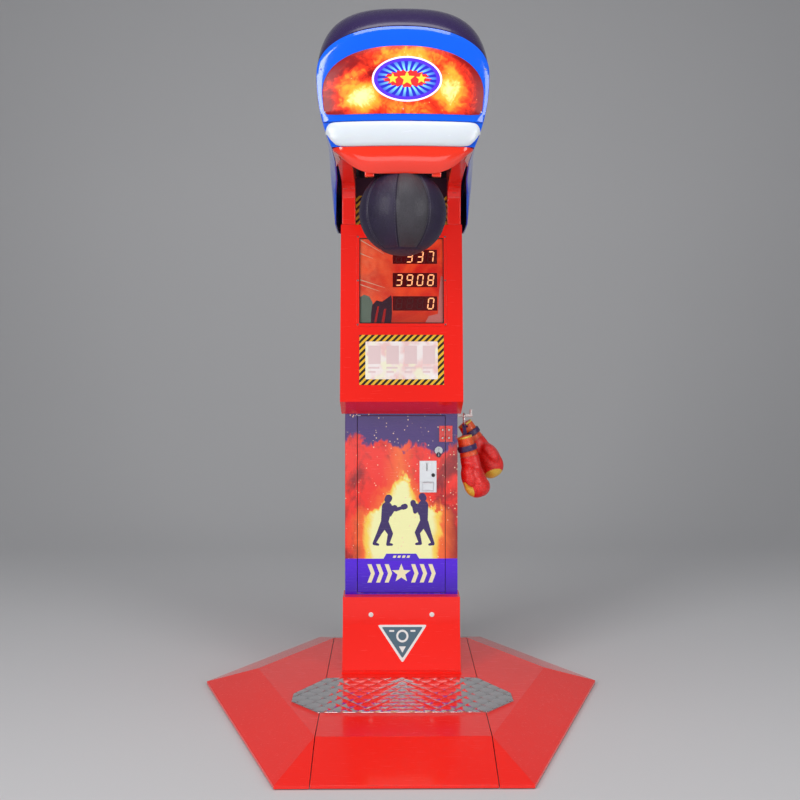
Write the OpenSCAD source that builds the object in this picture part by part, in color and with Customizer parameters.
// Boxing punch machine: a ramped floor platform, a sheet steel column with a coin door,
// a leaning score box, and an overhanging lit head that carries a swinging leather ball.
// Millimetres. Origin: middle of the platform, on the floor. Front is -Y, up is +Z.

/* [Platform] */
// Width of the platform, corner to corner
base_w = 1350; // [1250:10:1600]
// Depth of the platform, front edge to back edge
base_d = 1350; // [1250:10:1600]
// Height of the standing surface above the floor
base_h = 68; // [60:1:90]
// Length of the straight front edge
front_edge_w = 694; // [640:2:760]
// Length of the straight back edge
back_edge_w = 640; // [600:2:700]
// Distance of the side corners behind the middle
side_corner_y = 150; // [80:5:200]
// Width of the middle strip between the two seams
strip_w = 504; // [480:2:560]
// Level width of the front ramp
ramp_front = 190; // [150:5:220]
// Level width of the front side ramps
ramp_side = 158; // [130:2:180]
// Level width of the back side ramps
ramp_back_side = 170; // [140:2:190]
// Level width of the back ramp
ramp_back = 204; // [160:2:230]
// Height of the upright lip round the platform
lip_h = 12; // [8:1:18]
// Thickness of the platform's sheet steel
base_t = 3; // [2:0.5:4]
// Gap along the seams of the platform
seam = 2; // [1:0.5:4]
// Thickness of the tread plate
tread_t = 5; // [3:0.5:8]
// Side of the platform's square frame tubes
tube = 40; // [30:5:45]

/* [Column] */
// Width of the column
col_w = 392; // [370:2:404]
// Front plane of the column
col_front = 158; // [150:1:170]
// Back plane of the column
col_back = 430; // [424:1:440]
// Height of the column's top
col_top = 940; // [900:5:980]
// Thickness of the cabinet's sheet steel
sheet = 3; // [2:0.5:4]
// Width of the coin door
door_w = 304; // [290:2:310]
// Gap round the coin door
door_gap = 2; // [1:0.5:3]
// Width of the kick box at the column's foot
kick_w = 404; // [396:2:412]
// Height of the kick box's top
kick_top = 311; // [290:1:330]
// Height of the crease on the kick box
kick_crease = 218; // [190:1:240]
// Front plane of the kick box's upright part
kick_front = 120; // [110:1:130]
// Forward reach of the kick box's sloping foot
kick_reach = 40; // [20:1:60]
// Radius of the anchor bolts' heads
anchor_r = 9; // [6:1:12]

/* [Score box] */
// Width of the score box
box_w = 416; // [410:2:430]
// Height of the score box's top
box_top = 1593; // [1560:5:1640]
// Height of the fold between the chamfer and the leaning front
box_fold = 988; // [970:2:1010]
// Front of the leaning panel at its fold
box_front_low = 42; // [30:2:60]
// Front of the leaning panel at its top
box_front_top = 112; // [106:2:120]
// Width of the score window
window_w = 294; // [280:2:300]
// Height of the score window along the panel
window_h = 302; // [290:2:310]
// Distance of the score window above the fold
window_up = 263; // [250:2:275]
// Width of the instruction plate
plate_w = 286; // [260:2:300]
// Height of the instruction plate
plate_h = 170; // [150:2:180]
// Distance of the instruction plate above the fold
plate_up = 57; // [40:2:70]
// Width of one digit display
digit_w = 152; // [140:2:160]
// Height of one digit display
digit_h = 50; // [44:1:56]
// Distance between the rows of digit displays
digit_pitch = 81; // [70:1:86]

/* [Head] */
// Greatest width of the head
head_w = 520; // [510:2:560]
// Front of the head at its middle
head_front = -376; // [-386:2:-374]
// Forward bulge of the head's front from edge to middle
head_bulge = 30; // [20:1:34]
// Back plane of the head
head_back = 400; // [396:1:410]
// Height at which the head is widest
head_mid = 1985; // [1980:1:1995]
// Height of the front frame's top
frame_top = 2121; // [2110:1:2140]
// Height of the head's highest point
head_top = 2220; // [2200:5:2280]
// Height of the white band's top
band_top = 1841; // [1836:1:1846]
// Height of the white band's bottom
band_low = 1767; // [1762:1:1775]
// Height of the bowl's lowest edge
bowl_low = 1689; // [1680:1:1700]
// Wall of the moulded head shells
shell_t = 5; // [3:0.5:6]
// Thickness of the side arms
arm_t = 46; // [40:1:48]
// Distance of the side arms' inner faces from the middle
arm_in = 158; // [154:1:160]

/* [Swing] */
// Radius of the punch ball
ball_r = 134; // [120:1:138]
// Distance from the pivot to the ball's middle
swing_len = 327; // [316:1:330]
// Forward place of the pivot
pivot_y = -276; // [-280:1:-272]
// Height of the pivot
pivot_z = 1910; // [1906:1:1914]
// Radius of the pivot shaft
shaft_r = 12.5; // [10:0.5:14]
// Radius of the swing arm's tube
arm_r = 17; // [14:0.5:19]
// Radial running clearance of shafts and pins
run = 0.05; // [0.02:0.01:0.1]
// Clearance between pieces that must not touch
clear = 0.3; // [0.2:0.1:0.5]

/* [Gloves] */
// Radius of a glove's fist
fist_r = 55; // [48:1:57]
// Radius of a glove's cuff
cuff_r = 30; // [26:1:34]
// Height of the glove hook
hook_z = 926; // [900:2:930]

/* [Hidden] */
$fn = 64;

red = "red";
blue = "royalblue";
purple = [0.16, 0.1, 0.32];
steel = "silver";

// ---- shared shapes -------------------------------------------------------------------------

// Lays an outline of (depth, height) points across the width, from x0 to x1
module across(x0, x1) {
    translate([x0, 0, 0])
        rotate([90, 0, 90])
            linear_extrude(x1 - x0) children();
}

// Lays an outline of (width, height) points along the depth, from y0 to y1
module along(y0, y1) {
    translate([0, y1, 0])
        rotate([90, 0, 0])
            linear_extrude(y1 - y0) children();
}

// A block between two corners
module block(a, b) {
    translate(a) cube(b - a);
}

// A pan head screw whose head stands on the plane z = 0
module pan_screw(head_r, shank_r, shank_len) {
    rotate_extrude()
        polygon([[0, -shank_len], [shank_r, -shank_len], [shank_r, 0], [head_r, 0],
            [head_r, head_r * 0.3], [head_r * 0.7, head_r * 0.6], [0, head_r * 0.7]]);
}

// ---- platform outline ----------------------------------------------------------------------

ground = [
    [-front_edge_w / 2, -base_d / 2], [front_edge_w / 2, -base_d / 2],
    [base_w / 2, side_corner_y], [back_edge_w / 2, base_d / 2],
    [-back_edge_w / 2, base_d / 2], [-base_w / 2, side_corner_y]
];
ramps = [ramp_front, ramp_side, ramp_back_side, ramp_back, ramp_back_side, ramp_side];
// Unit vector along edge i and its inward normal
function edge_dir(i) = let(d = ground[(i + 1) % 6] - ground[i]) d / norm(d);
function edge_in(i) = let(d = edge_dir(i)) [-d[1], d[0]];
// Corner i when the edge before it moves in by a and the edge after it by b
function inset(i, a, b) =
    let(p = edge_dir((i + 5) % 6), q = edge_dir(i), n = edge_in((i + 5) % 6), m = edge_in(i),
        u = ground[i] + n * a, v = ground[i] + m * b, w = v - u,
        t = (w[0] * q[1] - w[1] * q[0]) / (p[0] * q[1] - p[1] * q[0]))
    u + p * t;
function inset_ring(k) = [for (i = [0:5]) inset(i, k[(i + 5) % 6], k[i])];
top_ring = inset_ring(ramps);

// The platform's outside as one block: a ring at the lip, drawn in to the level top
module platform_block(drop, side) {
    low = inset_ring([for (i = [0:5]) side]);
    difference() {
        translate([0, 0, 3 - (drop > 0 ? 1 : 0)])
            linear_extrude(base_h - drop - 3 + (drop > 0 ? 1 : 0)) polygon(low);
        for (i = [0:5]) {
            d = edge_dir(i);
            translate([ground[i][0], ground[i][1], lip_h - drop])
                rotate([0, 0, atan2(d[1], d[0])])
                    rotate([atan((base_h - lip_h) / ramps[i]), 0, 0])
                        translate([-base_w, -base_w / 4, 0])
                            cube([3 * base_w, base_w, base_h * 2]);
        }
    }
}

module platform_shell() {
    difference() {
        platform_block(0, 0);
        platform_block(base_t, base_t);
    }
}

module base_centre_panel() {
    color(red) intersection() {
        platform_shell();
        block([-strip_w / 2 + seam / 2, -base_d, 0], [strip_w / 2 - seam / 2, base_d, base_h * 2]);
    }
}

module base_side_panel() {
    intersection() {
        platform_shell();
        block([strip_w / 2 + seam / 2, -base_d, 0], [base_w, base_d, base_h * 2]);
    }
}

module base_right_panel() {
    color(red) base_side_panel();
}

module base_left_panel() {
    color(red) mirror([1, 0, 0]) base_side_panel();
}

frame_top_z = base_h - base_t;
frame_low_z = frame_top_z - tube;
rail_x = strip_w / 2;
rail_front = top_ring[0][1] + 60;
rail_back = top_ring[3][1] - 60;
wing_x = top_ring[2][0] - 50;
wing_y = top_ring[2][1] - tube / 2;

// Welded frame of square tube: two rails under the seams, cross members and two wings
module base_frame() {
    color("dimgray") {
        for (s = [-1, 1])
            block([s * rail_x - tube / 2, rail_front, frame_low_z],
                [s * rail_x + tube / 2, rail_back, frame_top_z]);
        for (y = [rail_front, wing_y, rail_back - tube])
            block([-rail_x, y, frame_low_z], [rail_x, y + tube, frame_top_z]);
        for (s = [-1, 1])
            block([min(s * rail_x, s * wing_x), wing_y, frame_low_z],
                [max(s * rail_x, s * wing_x), wing_y + tube, frame_top_z]);
    }
}

foot_r = 25;
foot_spots = [
    [-rail_x, rail_front + 40], [rail_x, rail_front + 40], [-rail_x, rail_back - 40],
    [rail_x, rail_back - 40], [-wing_x + 40, wing_y + tube / 2], [wing_x - 40, wing_y + tube / 2]
];

module levelling_feet() {
    color("dimgray") for (p = foot_spots)
        translate([p[0], p[1], 0]) {
            cylinder(r = foot_r, h = 8);
            cylinder(r = 8, h = frame_low_z);
        }
}

tread_front = -314;
tread_back = -2;
tread_nose = 345;
tread_shoulder = 258;
tread_holes = [[-230, -296], [230, -296], [-230, -20], [230, -20], [-325, -185], [325, -185]];

module tread_plate() {
    color("lightgray") difference() {
        translate([0, 0, base_h])
            linear_extrude(tread_t)
                polygon([[-tread_shoulder, tread_front], [tread_shoulder, tread_front],
                    [tread_nose, -220], [tread_nose, -150], [tread_shoulder - 8, tread_back],
                    [8 - tread_shoulder, tread_back], [-tread_nose, -150], [-tread_nose, -220]]);
        for (p = tread_holes)
            translate([p[0], p[1], base_h - 1]) cylinder(r = 3.5, h = tread_t + 2);
    }
}

// ---- column --------------------------------------------------------------------------------

mast_x = 170;
mast_t = 36;
mast_front = 350;
mast_back = 390;
plate_t = 8;
deck = base_h + plate_t;
beam_low = pivot_z + 25;
beam_h = 40;
anchor_spots = [[-150, 190], [150, 190], [-120, 400], [120, 400]];

// Two square tubes on a foot plate carry the head
module mast() {
    color("dimgray") {
        difference() {
            block([-col_w / 2 + sheet + 1, col_front + sheet + 1, base_h],
                [col_w / 2 - sheet - 1, col_back - sheet - 1, deck]);
            for (p = anchor_spots)
                translate([p[0], p[1], base_h - 1]) cylinder(r = 6.5, h = plate_t + 2);
        }
        for (s = [-1, 1])
            difference() {
                block([s * mast_x - mast_t / 2, mast_front, deck],
                    [s * mast_x + mast_t / 2, mast_back, beam_low]);
                block([s * mast_x - mast_t / 2 + 3, mast_front + 3, deck + 1],
                    [s * mast_x + mast_t / 2 - 3, mast_back - 3, beam_low + 1]);
            }
    }
}

module anchor_bolts() {
    color(steel) for (p = anchor_spots)
        translate([p[0], p[1], deck]) {
            cylinder(r = anchor_r, h = 8, $fn = 6);
            translate([0, 0, -plate_t + clear]) cylinder(r = 6, h = plate_t);
        }
}

door_low = kick_top + 6;
door_top = col_top - 8;
open_x = door_w / 2 + door_gap;
panel_half = 140;
panel_low = 200;
panel_high = 860;
column_low = base_h;

module column_shell() {
    color(red) difference() {
        block([-col_w / 2, col_front, column_low], [col_w / 2, col_back, col_top]);
        block([-col_w / 2 + sheet, col_front + sheet, column_low - 1],
            [col_w / 2 - sheet, col_back - sheet, col_top + 1]);
        block([-open_x, col_front - 1, door_low - door_gap],
            [open_x, col_front + sheet + 1, door_top + door_gap]);
        block([-panel_half, col_back - sheet - 1, panel_low], [panel_half, col_back + 1, panel_high]);
    }
}

vent_rows = [0:5];

module rear_service_panel() {
    color("darkred") difference() {
        block([-panel_half - 14, col_back, panel_low - 14], [panel_half + 14, col_back + 2, panel_high + 14]);
        for (i = vent_rows)
            block([-60, col_back - 1, panel_high - 60 - i * 18],
                [60, col_back + 3, panel_high - 54 - i * 18]);
    }
}

// Bent sheet cover: upright above the crease, sloping forward below it, with a foot flange
kick_side = [
    [kick_front - kick_reach - 26, base_h], [kick_front - kick_reach - 26, base_h + 5],
    [kick_front - kick_reach - 2, base_h + 5], [kick_front, kick_crease], [kick_front, kick_top],
    [col_front, kick_top], [col_front, base_h]
];
kick_inside = [
    [kick_front - kick_reach + sheet, base_h - 1], [kick_front - kick_reach + sheet, base_h + 5],
    [kick_front + sheet, kick_crease], [kick_front + sheet, kick_top - sheet],
    [col_front + 1, kick_top - sheet], [col_front + 1, base_h - 1]
];
kick_screw_x = 105;
kick_screw_z = 250;

module kick_box() {
    color(red) difference() {
        union() {
            across(-kick_w / 2, kick_w / 2) polygon(kick_side);
            for (s = [-1, 1])
                block([s * (kick_w / 2 - 1.5) - 1.5, col_front, base_h],
                    [s * (kick_w / 2 - 1.5) + 1.5, col_front + 60, kick_top]);
        }
        across(-kick_w / 2 + sheet, kick_w / 2 - sheet) polygon(kick_inside);
        for (s = [-1, 1])
            translate([s * kick_screw_x, kick_front - 1, kick_screw_z])
                rotate([-90, 0, 0]) cylinder(r = 3.5, h = sheet + 2);
    }
}

lock_x = 130;
lock_z = 812;
coin_x = 93;
coin_z = 721;
coin_w = 59;
coin_h = 110;
slot_z = coin_z + 38;
button_x = coin_x + 18;
button_z = coin_z + 5;
cup_z = coin_z - 34;
cup_w = 38;
cup_h = 32;
hinge_x = 4 - door_w / 2;
hinge_y = col_front + 4;
hinge_r = 1.8;
flange_in = 12;
// The brackets clear the door's ends, and the pins stop short of the opening's edges.
bracket_gap = 0.5;
pin_reach = door_gap - 0.3;

module front_door() {
    color("purple") difference() {
        union() {
            block([-door_w / 2, col_front, door_low], [door_w / 2, col_front + 2, door_top]);
            block([6 - door_w / 2, col_front + 2, door_low + flange_in],
                [8 - door_w / 2, col_front + 20, door_top - flange_in]);
            for (z = [door_low + flange_in, door_top - flange_in - 2])
                block([0.5 - door_w / 2, col_front + 2, z], [door_w / 2 - 12, col_front + 20, z + 2]);
        }
        translate([hinge_x, hinge_y, door_low])
            cylinder(r = hinge_r + run, h = door_top - door_low);
        translate([lock_x, col_front - 1, lock_z])
            rotate([-90, 0, 0]) cylinder(r = 10 + clear, h = 4);
        block([coin_x - coin_w / 2 + 3, col_front - 1, coin_z - coin_h / 2 + 2],
            [coin_x + coin_w / 2 - 3, col_front + 3, coin_z + coin_h / 2 - 2]);
    }
}

// Concealed pivot pins at the door's top and foot, on brackets behind the column's front
module door_hinge_pins() {
    color(steel) {
        block([hinge_x - 20, col_front + sheet, door_top + bracket_gap],
            [hinge_x + 6, col_front + sheet + 10, door_top + bracket_gap + 3]);
        translate([hinge_x, hinge_y, door_top - flange_in - 4])
            cylinder(r = hinge_r, h = flange_in + 4 + pin_reach);
        block([hinge_x - 20, col_front + sheet, door_low - bracket_gap - 3],
            [hinge_x + 6, col_front + sheet + 10, door_low - bracket_gap]);
        translate([hinge_x, hinge_y, door_low - pin_reach])
            cylinder(r = hinge_r, h = flange_in + 4 + pin_reach);
    }
}

hasp_low = 842;
hasp_high = 898;
ear_out = 26;

// A folded ear with a padlock hole: a foot on the sheet and an ear standing out of it
module hasp_eye(foot_x, ear_x) {
    difference() {
        union() {
            block([min(foot_x, ear_x), col_front - 3, hasp_low],
                [max(foot_x, ear_x), col_front, hasp_high]);
            block([ear_x - (foot_x < ear_x ? 3 : 0), col_front - ear_out, hasp_low + 6],
                [ear_x + (foot_x < ear_x ? 0 : 3), col_front, hasp_high - 6]);
        }
        translate([ear_x - 4, col_front - ear_out + 10, (hasp_low + hasp_high) / 2])
            rotate([0, 90, 0]) cylinder(r = 5, h = 8);
    }
}

module door_hasp_eye() {
    color(red) hasp_eye(door_w / 2 - 20, door_w / 2);
}

module jamb_hasp_eye() {
    color(red) hasp_eye(open_x + 24, open_x + 1);
}

// Key barrel with a cam behind the door, drawn unlocked with the cam pointing down
module door_lock() {
    color("whitesmoke") difference() {
        union() {
            translate([lock_x, col_front - 5, lock_z])
                rotate([-90, 0, 0]) cylinder(r = 14, h = 5 - clear);
            translate([lock_x, col_front - 1, lock_z])
                rotate([-90, 0, 0]) cylinder(r = 10, h = 24);
            block([lock_x - 7, col_front + 9, lock_z - 44], [lock_x + 7, col_front + 12, lock_z]);
        }
        block([lock_x - 1.5, col_front - 6, lock_z - 7], [lock_x + 1.5, col_front - 1, lock_z + 7]);
    }
}

module coin_plate() {
    color("gainsboro") difference() {
        union() {
            block([coin_x - coin_w / 2, col_front - 3, coin_z - coin_h / 2],
                [coin_x + coin_w / 2, col_front, coin_z + coin_h / 2]);
            translate([coin_x - 4, col_front - 6, slot_z - 4])
                rotate([-90, 0, 0]) cylinder(r = 15, h = 4);
            difference() {
                block([coin_x - cup_w / 2 - 2, col_front - 3, cup_z - cup_h / 2 - 2],
                    [coin_x + cup_w / 2 + 2, col_front + 36, cup_z + cup_h / 2 + 2]);
                block([coin_x - cup_w / 2, col_front - 4, cup_z - cup_h / 2],
                    [coin_x + cup_w / 2, col_front + 34, cup_z + cup_h / 2]);
            }
        }
        block([coin_x - 5.5, col_front - 8, slot_z - 17], [coin_x - 2.5, col_front + 1, slot_z + 9]);
        block([coin_x - cup_w / 2, col_front - 4, cup_z - cup_h / 2],
            [coin_x + cup_w / 2, col_front + 34, cup_z + cup_h / 2]);
        translate([button_x, col_front - 4, button_z])
            rotate([-90, 0, 0]) cylinder(r = 6 + clear, h = 5);
    }
}

module coin_reject_button() {
    color("dimgray") translate([button_x, col_front - 9, button_z])
        rotate([-90, 0, 0]) {
            cylinder(r = 6, h = 12);
            translate([0, 0, 9 + clear]) cylinder(r = 7.5, h = 3);
        }
}

flap_z = cup_z + cup_h / 2 - 3.5;

// Flap over the return cup, hung on stub pins at its top
module coin_return_flap() {
    color("gray") {
        block([coin_x - cup_w / 2 + 1, col_front - 1, cup_z - cup_h / 2 + 1],
            [coin_x + cup_w / 2 - 1, col_front + 1, flap_z]);
        translate([coin_x - cup_w / 2 + clear, col_front, flap_z])
            rotate([0, 90, 0]) cylinder(r = 2, h = cup_w - 2 * clear);
    }
}

// Coin acceptor behind the slot, on the back of the coin plate
module coin_mech() {
    color("dimgray") difference() {
        block([coin_x - 24, col_front, coin_z - 8], [coin_x + 24, col_front + 62, coin_z + 48]);
        block([coin_x - 5.5, col_front - 1, slot_z - 17], [coin_x - 2.5, col_front + 50, slot_z + 9]);
        translate([button_x, col_front - 1, button_z])
            rotate([-90, 0, 0]) cylinder(r = 9, h = 12);
    }
}

module cash_box() {
    color("gray") difference() {
        block([20, 200, deck], [160, 340, deck + 180]);
        block([22, 202, deck + 2], [158, 338, deck + 181]);
    }
}

// ---- score box -----------------------------------------------------------------------------

lean = atan((box_front_top - box_front_low) / (box_top - box_fold));
box_side = [
    [col_front, col_top], [box_front_low, box_fold], [box_front_top, box_top],
    [col_back, box_top], [col_back, col_top]
];
box_inside = [
    [col_front + sheet, col_top + sheet], [box_front_low + sheet, box_fold + sheet],
    [box_front_top + sheet, box_top - sheet], [col_back - sheet, box_top - sheet],
    [col_back - sheet, col_top + sheet]
];

// Puts its children on the leaning panel: x across, y up the panel, z out of it
module on_panel() {
    translate([0, box_front_low, box_fold])
        rotate([90 - lean, 0, 0]) children();
}

// A flat piece on the panel, from height a to b, between depths c and d
module panel_block(half, a, b, c, d) {
    translate([-half, a, c]) cube([2 * half, b - a, d - c]);
}

module score_box() {
    color(red) difference() {
        across(-box_w / 2, box_w / 2) polygon(box_side);
        across(-box_w / 2 + sheet, box_w / 2 - sheet) polygon(box_inside);
        on_panel() panel_block(window_w / 2, window_up, window_up + window_h, -12, 6);
        block([-col_w / 2 + sheet, col_front + 8, col_top - 1],
            [col_w / 2 - sheet, col_back - sheet, col_top + sheet + 1]);
        for (s = [-1, 1])
            block([s * mast_x - mast_t / 2 - 1, mast_front - 1, box_top - sheet - 1],
                [s * mast_x + mast_t / 2 + 1, mast_back + 1, box_top + 1]);
        for (i = [-3:3], k = [-3:3])
            translate([speaker_x + i * 12, col_back - sheet - 1, speaker_z + k * 12])
                rotate([-90, 0, 0]) cylinder(r = 3, h = sheet + 2);
    }
}

module score_bezel() {
    color("black") on_panel() difference() {
        panel_block(window_w / 2 + 7, window_up - 7, window_up + window_h + 7, 0, 3);
        panel_block(window_w / 2 - 3, window_up + 3, window_up + window_h - 3, -1, 4);
    }
}

glass_t = 4;

module score_window() {
    color([0.8, 0.9, 1, 0.3]) on_panel()
        panel_block(window_w / 2 - 1, window_up + 1, window_up + window_h - 1, -glass_t, 0);
}

board_back = -glass_t - clear - 3;
digit_x = 46;
digit_mid = window_up + 235;

module score_board() {
    color("orangered") on_panel() difference() {
        panel_block(window_w / 2 + 10, window_up - 10, window_up + window_h + 10,
            board_back, -glass_t - clear);
        for (k = [0:2])
            translate([digit_x - digit_w / 2, digit_mid - k * digit_pitch - digit_h / 2,
                board_back - 1])
                cube([digit_w, digit_h, 5]);
    }
}

module digit_displays() {
    color("maroon") on_panel() for (k = [0:2])
        translate([digit_x - digit_w / 2 - 3, digit_mid - k * digit_pitch - digit_h / 2 - 3,
            board_back - 16])
            cube([digit_w + 6, digit_h + 6, 16]);
}

module instruction_plate() {
    color("gold") on_panel() panel_block(plate_w / 2, plate_up, plate_up + plate_h, 0, 2);
}

board_z = 1180;

module control_board() {
    color("green") {
        block([-130, col_back - sheet - 10, board_z], [40, col_back - sheet - 8, board_z + 140]);
        for (x = [-122, 32], z = [board_z + 8, board_z + 132])
            translate([x, col_back - sheet - 8, z])
                rotate([-90, 0, 0]) cylinder(r = 4, h = 8);
        block([-110, col_back - sheet - 30, board_z + 20], [-60, col_back - sheet - 10, board_z + 60]);
        block([-20, col_back - sheet - 24, board_z + 80], [20, col_back - sheet - 10, board_z + 120]);
    }
}

module power_supply() {
    color("lightgray") block([-170, 210, deck], [-60, 330, deck + 55]);
}

inlet_z = 130;

module power_inlet() {
    color("black") difference() {
        block([-30, col_back, inlet_z - 15], [30, col_back + 6, inlet_z + 15]);
        block([-12, col_back + 1, inlet_z - 9], [14, col_back + 7, inlet_z + 9]);
    }
}

speaker_x = 110;
speaker_z = 1430;

module speaker() {
    color("black") translate([speaker_x, col_back - sheet, speaker_z])
        rotate([90, 0, 0]) rotate_extrude()
            polygon([[46, 0], [62, 0], [62, 4], [30, 40], [30, 58], [0, 58], [0, 52], [22, 36]]);
}

// ---- head shells ---------------------------------------------------------------------------

face_r = (pow(head_w / 2, 2) + pow(head_bulge, 2)) / (2 * head_bulge);
face_t = 6;
brow_y = -220;
function bulge(x) = face_r - sqrt(face_r * face_r - x * x);
// Half width, top height, low height and low half width of the head at depth y
function half_at(y) = lookup(y, [[head_front, head_w / 2 - 2], [brow_y, head_w / 2 + 2],
    [100, head_w / 2 - 6], [330, head_w / 2 - 20], [head_back, head_w / 2 - 34]]);
function top_at(y) = lookup(y, [[head_front, frame_top], [-330, frame_top + 52],
    [-280, frame_top + 82], [brow_y, head_top], [100, head_top - 16],
    [300, head_top - 90], [head_back, head_top - 165]]);
function low_at(y) = lookup(y, [[head_front, band_low + 1], [-115, band_low + 1], [20, 1735],
    [100, 1700], [160, 1600], [330, 1586], [head_back, 1600]]);
function low_half_at(y) = lookup(y, [[head_front, 213], [20, 220], [110, 228], [160, 231],
    [330, 231], [head_back, 226]]);
function round_at(y) = lookup(y, [[head_front, 2.3], [brow_y, 2.9], [head_back, 3]]);
function side_x(y, z, t) =
    let(k = (head_mid - z) / (head_mid - low_at(y)))
    half_at(y) - t - (half_at(y) - low_half_at(y)) * pow(max(k, 0), 2.1);
function arch_x(y, a, t) =
    sign(cos(a)) * (half_at(y) - t) * pow(abs(cos(a)), 2 / round_at(y));
function arch_z(y, a, t) = head_mid + (top_at(y) - t - head_mid) * pow(abs(sin(a)), 2 / round_at(y));
face_back = head_front + face_t + clear;
function fade(y) = min(1, max(0, 1 - (y - face_back) / (brow_y - face_back)));

stations = [
    face_back, -352, -330, -305, -280, -250, brow_y, -150, -115, -60, 20, 70, 100,
    130, 160, 240, 330, 370, head_back
];
side_steps = 8;
cap_steps = 28;
function put(y, x, z) = [x, y + fade(y) * bulge(x), z];
function side_row(y, t, s) = [for (i = [0:side_steps])
    let(z = low_at(y) + (head_mid - low_at(y)) * i / side_steps)
    put(y, s * side_x(y, z, t), z)];
function cap_row(y, t) = [for (i = [0:cap_steps])
    put(y, arch_x(y, 180 * i / cap_steps, t), arch_z(y, 180 * i / cap_steps, t))];
function join(lists) = [for (l = lists) for (p = l) p];

// A closed curved sheet between two matching grids of points, rows by n points
module curved_sheet(outer, inner, n) {
    rows = len(outer);
    m = rows * n;
    pts = concat(join(outer), join(inner));
    faces = concat(
        [for (r = [0:rows - 2], i = [0:n - 2]) for (f = [
            [r * n + i, (r + 1) * n + i, (r + 1) * n + i + 1],
            [r * n + i, (r + 1) * n + i + 1, r * n + i + 1]]) f],
        [for (r = [0:rows - 2], i = [0:n - 2]) for (f = [
            [m + r * n + i, m + (r + 1) * n + i + 1, m + (r + 1) * n + i],
            [m + r * n + i, m + r * n + i + 1, m + (r + 1) * n + i + 1]]) f],
        [for (i = [0:n - 2]) for (f = [
            [i, i + 1, m + i + 1], [i, m + i + 1, m + i]]) f],
        [for (i = [0:n - 2], b = [(rows - 1) * n]) for (f = [
            [b + i, m + b + i + 1, b + i + 1], [b + i, m + b + i, m + b + i + 1]]) f],
        [for (r = [0:rows - 2]) for (f = [
            [r * n, m + r * n, m + (r + 1) * n], [r * n, m + (r + 1) * n, (r + 1) * n]]) f],
        [for (r = [0:rows - 2], e = [n - 1]) for (f = [
            [r * n + e, m + (r + 1) * n + e, m + r * n + e],
            [r * n + e, (r + 1) * n + e, m + (r + 1) * n + e]]) f]);
    polyhedron(pts, faces, convexity = 6);
}

module side_shell(s) {
    curved_sheet([for (y = stations) side_row(y, s > 0 ? 0 : shell_t, s)],
        [for (y = stations) side_row(y, s > 0 ? shell_t : 0, s)], side_steps + 1);
}

module side_shell_left() {
    color(blue) side_shell(-1);
}

module side_shell_right() {
    color(blue) side_shell(1);
}

module head_top_cap() {
    color(purple) curved_sheet([for (y = stations) cap_row(y, 0)],
        [for (y = stations) cap_row(y, shell_t)], cap_steps + 1);
}

rear_outline = concat(
    [for (i = [0:cap_steps]) [arch_x(head_back, 180 * i / cap_steps, 0),
        arch_z(head_back, 180 * i / cap_steps, 0)]],
    [for (i = [1:side_steps]) let(z = head_mid - (head_mid - box_top) * i / side_steps)
        [-side_x(head_back, max(z, low_at(head_back)), 0), z]],
    [for (i = [0:side_steps - 1]) let(z = box_top + (head_mid - box_top) * i / side_steps)
        [side_x(head_back, max(z, low_at(head_back)), 0), z]]);

module head_rear_cover() {
    color(purple) difference() {
        along(head_back, head_back + 3) polygon(rear_outline);
        for (i = [0:5])
            block([-80, head_back - 1, 1760 + i * 20], [80, head_back + 4, 1767 + i * 20]);
    }
}

// A curved slab that follows the head's front, from depth a to b behind it
module face_slab(a, b) {
    difference() {
        translate([0, head_front + face_r, bowl_low - 20])
            cylinder(r = face_r - a, h = head_top, $fn = 256);
        translate([0, head_front + face_r, bowl_low - 21])
            cylinder(r = face_r - b, h = head_top + 2, $fn = 256);
        block([-2 * face_r, head_front + head_bulge + 20, bowl_low - 22],
            [2 * face_r, head_front + 3 * face_r, 2 * head_top]);
    }
}

// Outline of the head's front, level at the white band
face_outline = concat(
    [for (i = [0:cap_steps]) [arch_x(head_front, 180 * i / cap_steps, 0),
        arch_z(head_front, 180 * i / cap_steps, 0)]],
    [for (i = [1:side_steps]) let(z = head_mid - (head_mid - band_top) * i / side_steps)
        [-side_x(head_front, z, 0), z]],
    [for (i = [0:side_steps - 1]) let(z = band_top + (head_mid - band_top) * i / side_steps)
        [side_x(head_front, z, 0), z]]);

marquee_low = 1862;
marquee_top = 2062;
marquee_half = 240;
marquee_mid = 1925;
marquee_steps = 24;
marquee_t = 3;
// D-shaped outline: straight foot with round corners below an arched top, drawn in by d
function marquee_points(d) = concat(
    [for (i = [0:marquee_steps]) let(a = 180 * i / marquee_steps)
        [sign(cos(a)) * (marquee_half - d) * pow(abs(cos(a)), 0.86),
            marquee_mid + (marquee_top - d - marquee_mid) * pow(sin(a), 0.86)]],
    [for (i = [0:4]) let(a = 180 + 22.5 * i)
        [-(marquee_half - 22) + (18 - d) * cos(a), marquee_low + 18 + (18 - d) * sin(a)]],
    [for (i = [0:4]) let(a = 270 + 22.5 * i)
        [marquee_half - 22 + (18 - d) * cos(a), marquee_low + 18 + (18 - d) * sin(a)]]);

side_screw = [244, 2000];
foot_screw = [231, 1871];

// Places its children on the head's front at (x, z), lifted off it by up, facing out
module on_face(spot, up) {
    translate([spot[0], head_front + bulge(spot[0]), spot[1]])
        rotate([90, 0, asin(spot[0] / face_r)]) translate([0, 0, up]) children();
}

module side_spots() {
    for (s = [-1, 1]) on_face([s * side_screw[0], side_screw[1]], 0) children();
}

module foot_spots_on(up) {
    for (spot = [[-foot_screw[0], foot_screw[1]], [foot_screw[0], foot_screw[1]], [0, foot_screw[1] + 4]])
        on_face(spot, up) children();
}

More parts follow.
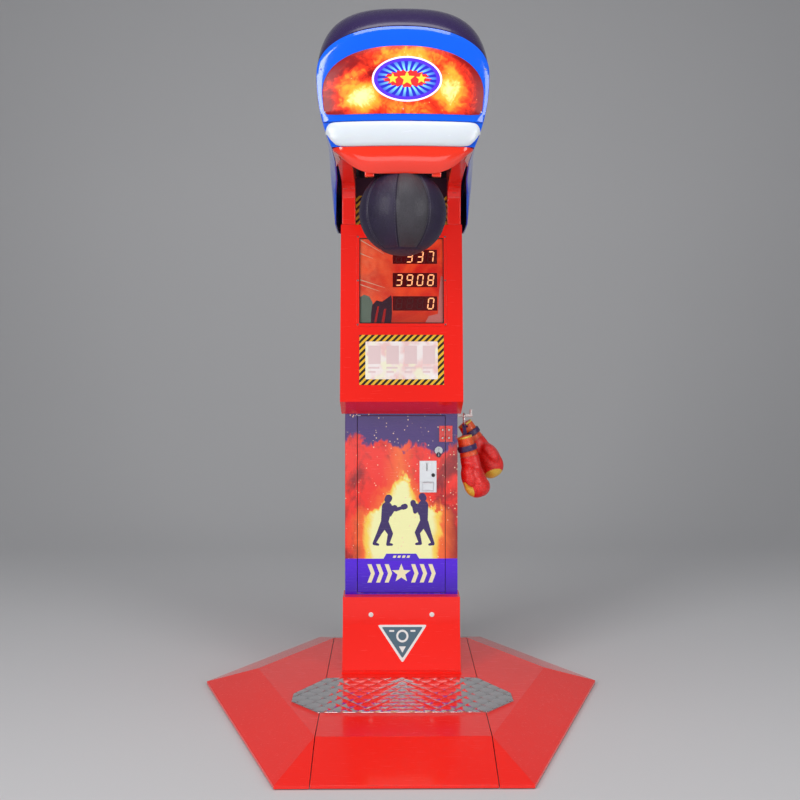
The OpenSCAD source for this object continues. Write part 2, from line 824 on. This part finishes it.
module head_front_frame() {
    color(blue) difference() {
        intersection() {
            face_slab(0, face_t);
            along(head_front - 10, head_front + 60) difference() {
                polygon(face_outline);
                polygon(marquee_points(14));
            }
        }
        side_spots() translate([0, 0, -face_t - 2]) cylinder(r = 3, h = face_t + 4);
    }
}

module marquee_panel() {
    color("orange") difference() {
        intersection() {
            face_slab(-marquee_t, 0);
            along(head_front - 20, head_front + 60) polygon(marquee_points(0));
        }
        foot_spots_on(0) translate([0, 0, -2]) cylinder(r = 2.5, h = marquee_t + 4);
    }
}

cross_front = -345;
cross_back = -315;
tray_half = 170;

// Light strips on a tray behind the marquee, and one strip behind the white band
module led_lamps() {
    color("ivory") {
        block([-tray_half, cross_front - 2, 1885], [tray_half, cross_front, 2045]);
        for (z = [1900, 1958, 2016])
            block([-150, cross_front - 6, z], [150, cross_front - 2, z + 14]);
        block([-150, cross_front - 5, 1797], [150, cross_front, 1813]);
    }
}

band_half_top = 236;
band_half_low = 217;
band_outline = [for (s = [1, -1]) for (i = [0:8]) let(k = s > 0 ? i : 8 - i, a = -90 + 22.5 * k,
    h = (band_top - band_low) / 2)
    [s * ((band_half_top + band_half_low) / 2 - 34 + 36 * cos(a) + 9 * sin(a)),
        band_low + h + h * sin(a)]];

module white_diffuser() {
    color("white") intersection() {
        face_slab(-12, face_t);
        along(head_front - 20, head_front + 60) polygon(band_outline);
    }
}

bowl_half = 212;
bowl_wall = 8;
bowl_back = -120;
bowl_steps = 10;
// Lower edge of the bowl at distance x from the middle
function bowl_edge(x) = bowl_low + (x < 87 ? 0 : 52 * pow((x - 87) / (bowl_half - 87), 1.35));
bowl_outline = concat(
    [for (i = [-bowl_steps:bowl_steps]) let(x = bowl_half * i / bowl_steps)
        [x, bowl_edge(abs(x))]],
    [[bowl_half, band_low], [-bowl_half, band_low]]);
function plan_points(t) =
    let(r = 40 - t, x0 = bowl_half - 40, y0 = head_front + bulge(bowl_half - 40) + 40 + 2)
    concat([[bowl_half - t, bowl_back], [bowl_half - t, y0]],
        [for (i = [1:5]) [x0 + r * cos(-18 * i * 0.92), y0 + r * sin(-18 * i * 0.92)]],
        [for (i = [1:15]) let(x = x0 - 2 * x0 * i / 16) [x, head_front + t + bulge(x)]],
        [for (i = [5:-1:1]) [-x0 - r * cos(-18 * i * 0.92), y0 + r * sin(-18 * i * 0.92)]],
        [[-bowl_half + t, y0], [-bowl_half + t, bowl_back]]);

lug_x = 100;

// Curved chin under the white band, with two small lugs on its lower edge
module lower_bowl() {
    color("orangered") {
        intersection() {
            along(head_front - 10, bowl_back) polygon(bowl_outline);
            translate([0, 0, bowl_low - 10])
                linear_extrude(band_low - bowl_low + 20) difference() {
                    polygon(plan_points(0));
                    translate([0, 1, 0]) polygon(plan_points(bowl_wall));
                }
        }
        for (s = [-1, 1])
            block([s * lug_x - 12, head_front + 7, bowl_low - 8],
                [s * lug_x + 12, head_front + 24, bowl_low + 30]);
    }
}

// ---- bay and arms --------------------------------------------------------------------------

arm_side = concat(
    [[box_front_top, box_top]],
    [for (i = [0:6]) let(a = 15 * i)
        [box_front_top - 60 + 60 * cos(a), 1672 + 60 * sin(a)]],
    [[-60, 1745], [-281, 1762], [-281, 1800], [60, 1808], [box_front_top + 60, 1790],
        [box_front_top + 60, box_top]]);

module arm_right() {
    color(red) across(arm_in, arm_in + arm_t) polygon(arm_side);
}

module arm_left() {
    color(red) mirror([1, 0, 0]) across(arm_in, arm_in + arm_t) polygon(arm_side);
}

bay_y = 200;
bay_half = arm_in + arm_t;
bay_top = 1768;

module bay_back_panel() {
    color(purple) {
        block([-bay_half, bay_y, box_top], [bay_half, bay_y + sheet, bay_top]);
        for (s = [-1, 1])
            block([s * (bay_half - 2) - 2, box_front_top + 60, box_top],
                [s * (bay_half - 2) + 2, bay_y, bay_top]);
    }
}

// ---- head frame and swing ------------------------------------------------------------------

beam_x = mast_x;
beam_in = beam_x - mast_t / 2;
beam_out = beam_x + mast_t / 2;
beam_top = beam_low + beam_h;
stop_low = 1790;
pin_at = 130;
buffer_r = 11;
rear_stop_y = -205;
swing_max = 88;
latch_y = pivot_y + pin_at * sin(swing_max) - 16;
latch_z = pivot_z - pin_at * cos(swing_max) + 79.5;
portal_y = latch_y;
portal_low = latch_z + 65;

module head_frame() {
    color("dimgray") {
        for (s = [-1, 1]) {
            block([s * beam_x - mast_t / 2, cross_front, beam_low],
                [s * beam_x + mast_t / 2, mast_back, beam_top]);
            block([s * beam_x - mast_t / 2, cross_front, stop_low],
                [s * beam_x + mast_t / 2, cross_back, beam_low]);
            block([s * beam_x - mast_t / 2, portal_y - 20, beam_top],
                [s * beam_x + mast_t / 2, portal_y + 20, portal_low + 30]);
        }
        block([-beam_in, cross_front, beam_low], [beam_in, cross_back, beam_top]);
        block([-beam_in, cross_front, stop_low], [beam_in, cross_back, stop_low + 30]);
        block([-beam_in, mast_front, beam_low], [beam_in, mast_back, beam_top]);
        block([-beam_in, rear_stop_y - 15, beam_low + 10], [beam_in, rear_stop_y + 15, beam_top]);
        block([-beam_in, portal_y - 20, portal_low], [beam_in, portal_y + 20, portal_low + 30]);
    }
}

bracket_y = [-290, -60, 240];

// Short bars that hold the side shells off the frame's beams
module shell_brackets() {
    color("gray") for (s = [-1, 1], y = bracket_y)
        let(end = min(side_x(y, beam_low + 10, shell_t), side_x(y + 30, beam_low + 10, shell_t)) - clear)
            block([min(s * beam_out, s * end), y, beam_low + 10],
                [max(s * beam_out, s * end), y + 30, beam_low + 30]);
}

block_in = 157;
block_w = 26;

module bearing_blocks() {
    color("slategray") for (s = [-1, 1])
        difference() {
            union() {
                block([s * (block_in + block_w / 2) - block_w / 2, pivot_y - 36, pivot_z + 10],
                    [s * (block_in + block_w / 2) + block_w / 2, pivot_y + 36, beam_low]);
                translate([s * (block_in + block_w / 2) - block_w / 2, pivot_y, pivot_z])
                    rotate([0, 90, 0]) cylinder(r = 24, h = block_w);
            }
            translate([s * (block_in + block_w / 2) - block_w, pivot_y, pivot_z])
                rotate([0, 90, 0]) cylinder(r = shaft_r + run, h = 2 * block_w);
        }
}

shaft_half = 187;
disc_x = -96;
disc_r = 44;

// Shaft with a notched timing disc pressed on it
module pivot_shaft() {
    color(steel) {
        translate([-shaft_half, pivot_y, pivot_z])
            rotate([0, 90, 0]) cylinder(r = shaft_r, h = 2 * shaft_half);
        difference() {
            translate([disc_x, pivot_y, pivot_z]) rotate([0, 90, 0]) cylinder(r = disc_r, h = 2);
            for (i = [0:11])
                translate([disc_x - 1, pivot_y, pivot_z])
                    rotate([30 * i, 0, 0]) translate([0, -2, disc_r - 8]) cube([4, 4, 10]);
        }
    }
}

hub_r = 26;
neck_low = sqrt(ball_r * ball_r - 60 * 60);
neck_h = 30;
spigot = 90;

// Hub, tube and catch pin, hanging straight down from the shaft
module swing_arm() {
    color("dimgray") translate([0, pivot_y, pivot_z]) {
        difference() {
            union() {
                translate([-45, 0, 0]) rotate([0, 90, 0]) cylinder(r = hub_r, h = 90);
                translate([0, 0, -swing_len + ball_r - spigot])
                    cylinder(r = arm_r, h = swing_len - ball_r + spigot - 10);
                translate([-36, 0, -pin_at]) rotate([0, 90, 0]) cylinder(r = 6, h = 72);
            }
            translate([-50, 0, 0]) rotate([0, 90, 0]) cylinder(r = shaft_r + run, h = 100);
        }
    }
}

// Leather ball with its rubber neck cone, sleeved over the arm's tube
module punch_ball() {
    color([0.12, 0.1, 0.18]) translate([0, pivot_y, pivot_z - swing_len])
        difference() {
            union() {
                sphere(r = ball_r, $fn = 128);
                translate([0, 0, neck_low]) cylinder(r1 = 60, r2 = 34, h = neck_h);
            }
            translate([0, 0, ball_r - spigot - 1]) cylinder(r = arm_r + clear, h = ball_r + spigot);
        }
}

module stop_buffers() {
    color("black") {
        translate([0, cross_back, stop_low + 15])
            rotate([-90, 0, 0]) cylinder(r = buffer_r, h = pivot_y - arm_r - 0.5 - cross_back);
        translate([0, rear_stop_y, pivot_z + arm_r - 1])
            cylinder(r = buffer_r, h = beam_low + 10 - pivot_z - arm_r + 1);
    }
}

latch_open = 20;
hook_x = 24;
hook_t = 6;
hook_pin_r = 5;
tail = 34;
plunger_z = latch_z + tail - 1;
plunger_y = latch_y + tail * sin(latch_open);
coil_y = latch_y - 26;
coil_len = 46;
cheek_x = 37;

// Cheek plate hung from the portal, with the pin that the catch turns on
module latch_bracket() {
    color("gray") {
        block([cheek_x, coil_y - coil_len - 2, latch_z - 9.5],
            [cheek_x + 6, latch_y + 20, portal_low]);
        translate([hook_x - 4, latch_y, latch_z]) rotate([0, 90, 0]) {
            cylinder(r = hook_pin_r, h = cheek_x - hook_x + 4);
            cylinder(r = 8, h = 4 - clear);
            translate([0, 0, 4 + hook_t + clear])
                cylinder(r = 8, h = cheek_x - hook_x - hook_t - clear);
        }
    }
}

module latch_solenoid() {
    color("black") difference() {
        block([cheek_x - 23, coil_y - coil_len, plunger_z - 15], [cheek_x, coil_y, plunger_z + 15]);
        translate([hook_x + hook_t / 2, coil_y + 1, plunger_z])
            rotate([90, 0, 0]) cylinder(r = 6.3, h = 31);
    }
}

// Catch plate, drawn swung clear of the ball's catch pin
module latch_hook() {
    color("goldenrod") translate([hook_x, latch_y, latch_z])
        rotate([-latch_open, 0, 0]) difference() {
            union() {
                block([0, -7, -98], [hook_t, 7, tail]);
                block([0, 6, -98], [hook_t, 26, -87]);
                rotate([0, 90, 0]) cylinder(r = 12, h = hook_t);
                translate([0, 0, tail]) rotate([0, 90, 0]) cylinder(r = 11, h = hook_t);
            }
            translate([-1, 0, 0]) rotate([0, 90, 0]) cylinder(r = hook_pin_r + run, h = hook_t + 2);
            translate([-1, 0, tail]) rotate([0, 90, 0]) cylinder(r = 6, h = hook_t + 2);
        }
}

// Solenoid plunger with a forked end and a cross pin in the catch's wide eye
module latch_plunger() {
    color(steel) translate([hook_x + hook_t / 2, plunger_y, plunger_z]) {
        for (s = [-1, 1])
            block([s * 5.75 - 1.25, -20, -6], [s * 5.75 + 1.25, 6, 6]);
        block([-7, -20, -6], [7, -14, 6]);
        translate([0, -19, 0]) rotate([90, 0, 0]) cylinder(r = 6, h = 31);
        translate([-7, 0, 0]) rotate([0, 90, 0]) cylinder(r = 2.5, h = 14);
    }
}

// Optical gate astride the notched disc, on the back of the front cross member
module speed_sensor() {
    color("black") {
        block([disc_x - 10, cross_back, pivot_z + disc_r + 4], [disc_x + 12, pivot_y + 12, beam_top - 5]);
        for (x = [disc_x - 10, disc_x + 5])
            block([x, pivot_y - 12, pivot_z + disc_r - 14], [x + 7, pivot_y + 12, pivot_z + disc_r + 5]);
    }
}

// ---- screws --------------------------------------------------------------------------------

// Pan head screws of the tread plate, the kick box, the head's front and the marquee
module panel_screws() {
    color(steel) {
        for (p = tread_holes)
            translate([p[0], p[1], base_h + tread_t]) pan_screw(7, 3, tread_t - clear);
        for (s = [-1, 1])
            translate([s * kick_screw_x, kick_front, kick_screw_z])
                rotate([90, 0, 0]) pan_screw(8, 3, 20);
        side_spots() pan_screw(6, 2.5, face_t - clear);
        foot_spots_on(marquee_t) pan_screw(5, 2, marquee_t - clear);
    }
}

// ---- gloves --------------------------------------------------------------------------------

hook_y = 262;
hook_r = 5;
hook_out = 60;
ring_r = 22;
ring_t = 3;
ring_x = col_w / 2 + 30;
ring_z = hook_z + hook_r + clear - ring_r + ring_t;
glove_side = 52;

module glove_hook() {
    color("whitesmoke") translate([col_w / 2, hook_y, hook_z]) {
        block([0, -15, -34], [3, 15, 12]);
        rotate([0, 90, 0]) cylinder(r = hook_r, h = hook_out);
        translate([hook_out - hook_r, 0, 0]) cylinder(r = hook_r, h = 22);
    }
}

module glove_ring() {
    color("whitesmoke") translate([ring_x, hook_y, ring_z])
        rotate([0, 90, 0]) rotate_extrude() translate([ring_r, 0]) circle(r = ring_t);
}

// A glove hanging fist down, with its strap up to the foot of the ring
module glove_form(cuff, fist) {
    hull() {
        translate(cuff) sphere(r = cuff_r, $fn = 32);
        translate(cuff + (fist - cuff) * 0.4) sphere(r = cuff_r + 2, $fn = 32);
        translate(fist) sphere(r = fist_r, $fn = 32);
    }
    hull() {
        translate([ring_x - 4, hook_y - 3 + sign(cuff[1] - hook_y) * 4,
            ring_z - ring_r - ring_t - clear - 8]) cube([8, 6, 8]);
        translate(cuff - [4, 3, 3]) cube([8, 6, 6]);
    }
}

module glove_left() {
    color(red) glove_form([ring_x + 4, hook_y - glove_side, hook_z - 96],
        [ring_x + 40, hook_y - glove_side, hook_z - 236]);
}

module glove_right() {
    color(red) glove_form([ring_x + 20, hook_y + glove_side, hook_z - 50],
        [ring_x + 95, hook_y + glove_side, hook_z - 174]);
}

base_frame();
levelling_feet();
base_centre_panel();
base_left_panel();
base_right_panel();
tread_plate();
panel_screws();
mast();
anchor_bolts();
column_shell();
rear_service_panel();
kick_box();
front_door();
door_hinge_pins();
door_hasp_eye();
jamb_hasp_eye();
door_lock();
coin_plate();
coin_reject_button();
coin_return_flap();
coin_mech();
cash_box();
score_box();
score_bezel();
score_window();
score_board();
digit_displays();
instruction_plate();
control_board();
power_supply();
power_inlet();
speaker();
arm_left();
arm_right();
bay_back_panel();
head_frame();
shell_brackets();
side_shell_left();
side_shell_right();
head_top_cap();
head_rear_cover();
head_front_frame();
marquee_panel();
led_lamps();
white_diffuser();
lower_bowl();
bearing_blocks();
stop_buffers();
pivot_shaft();
swing_arm();
punch_ball();
latch_bracket();
latch_solenoid();
latch_hook();
latch_plunger();
speed_sensor();
glove_hook();
glove_ring();
glove_left();
glove_right();
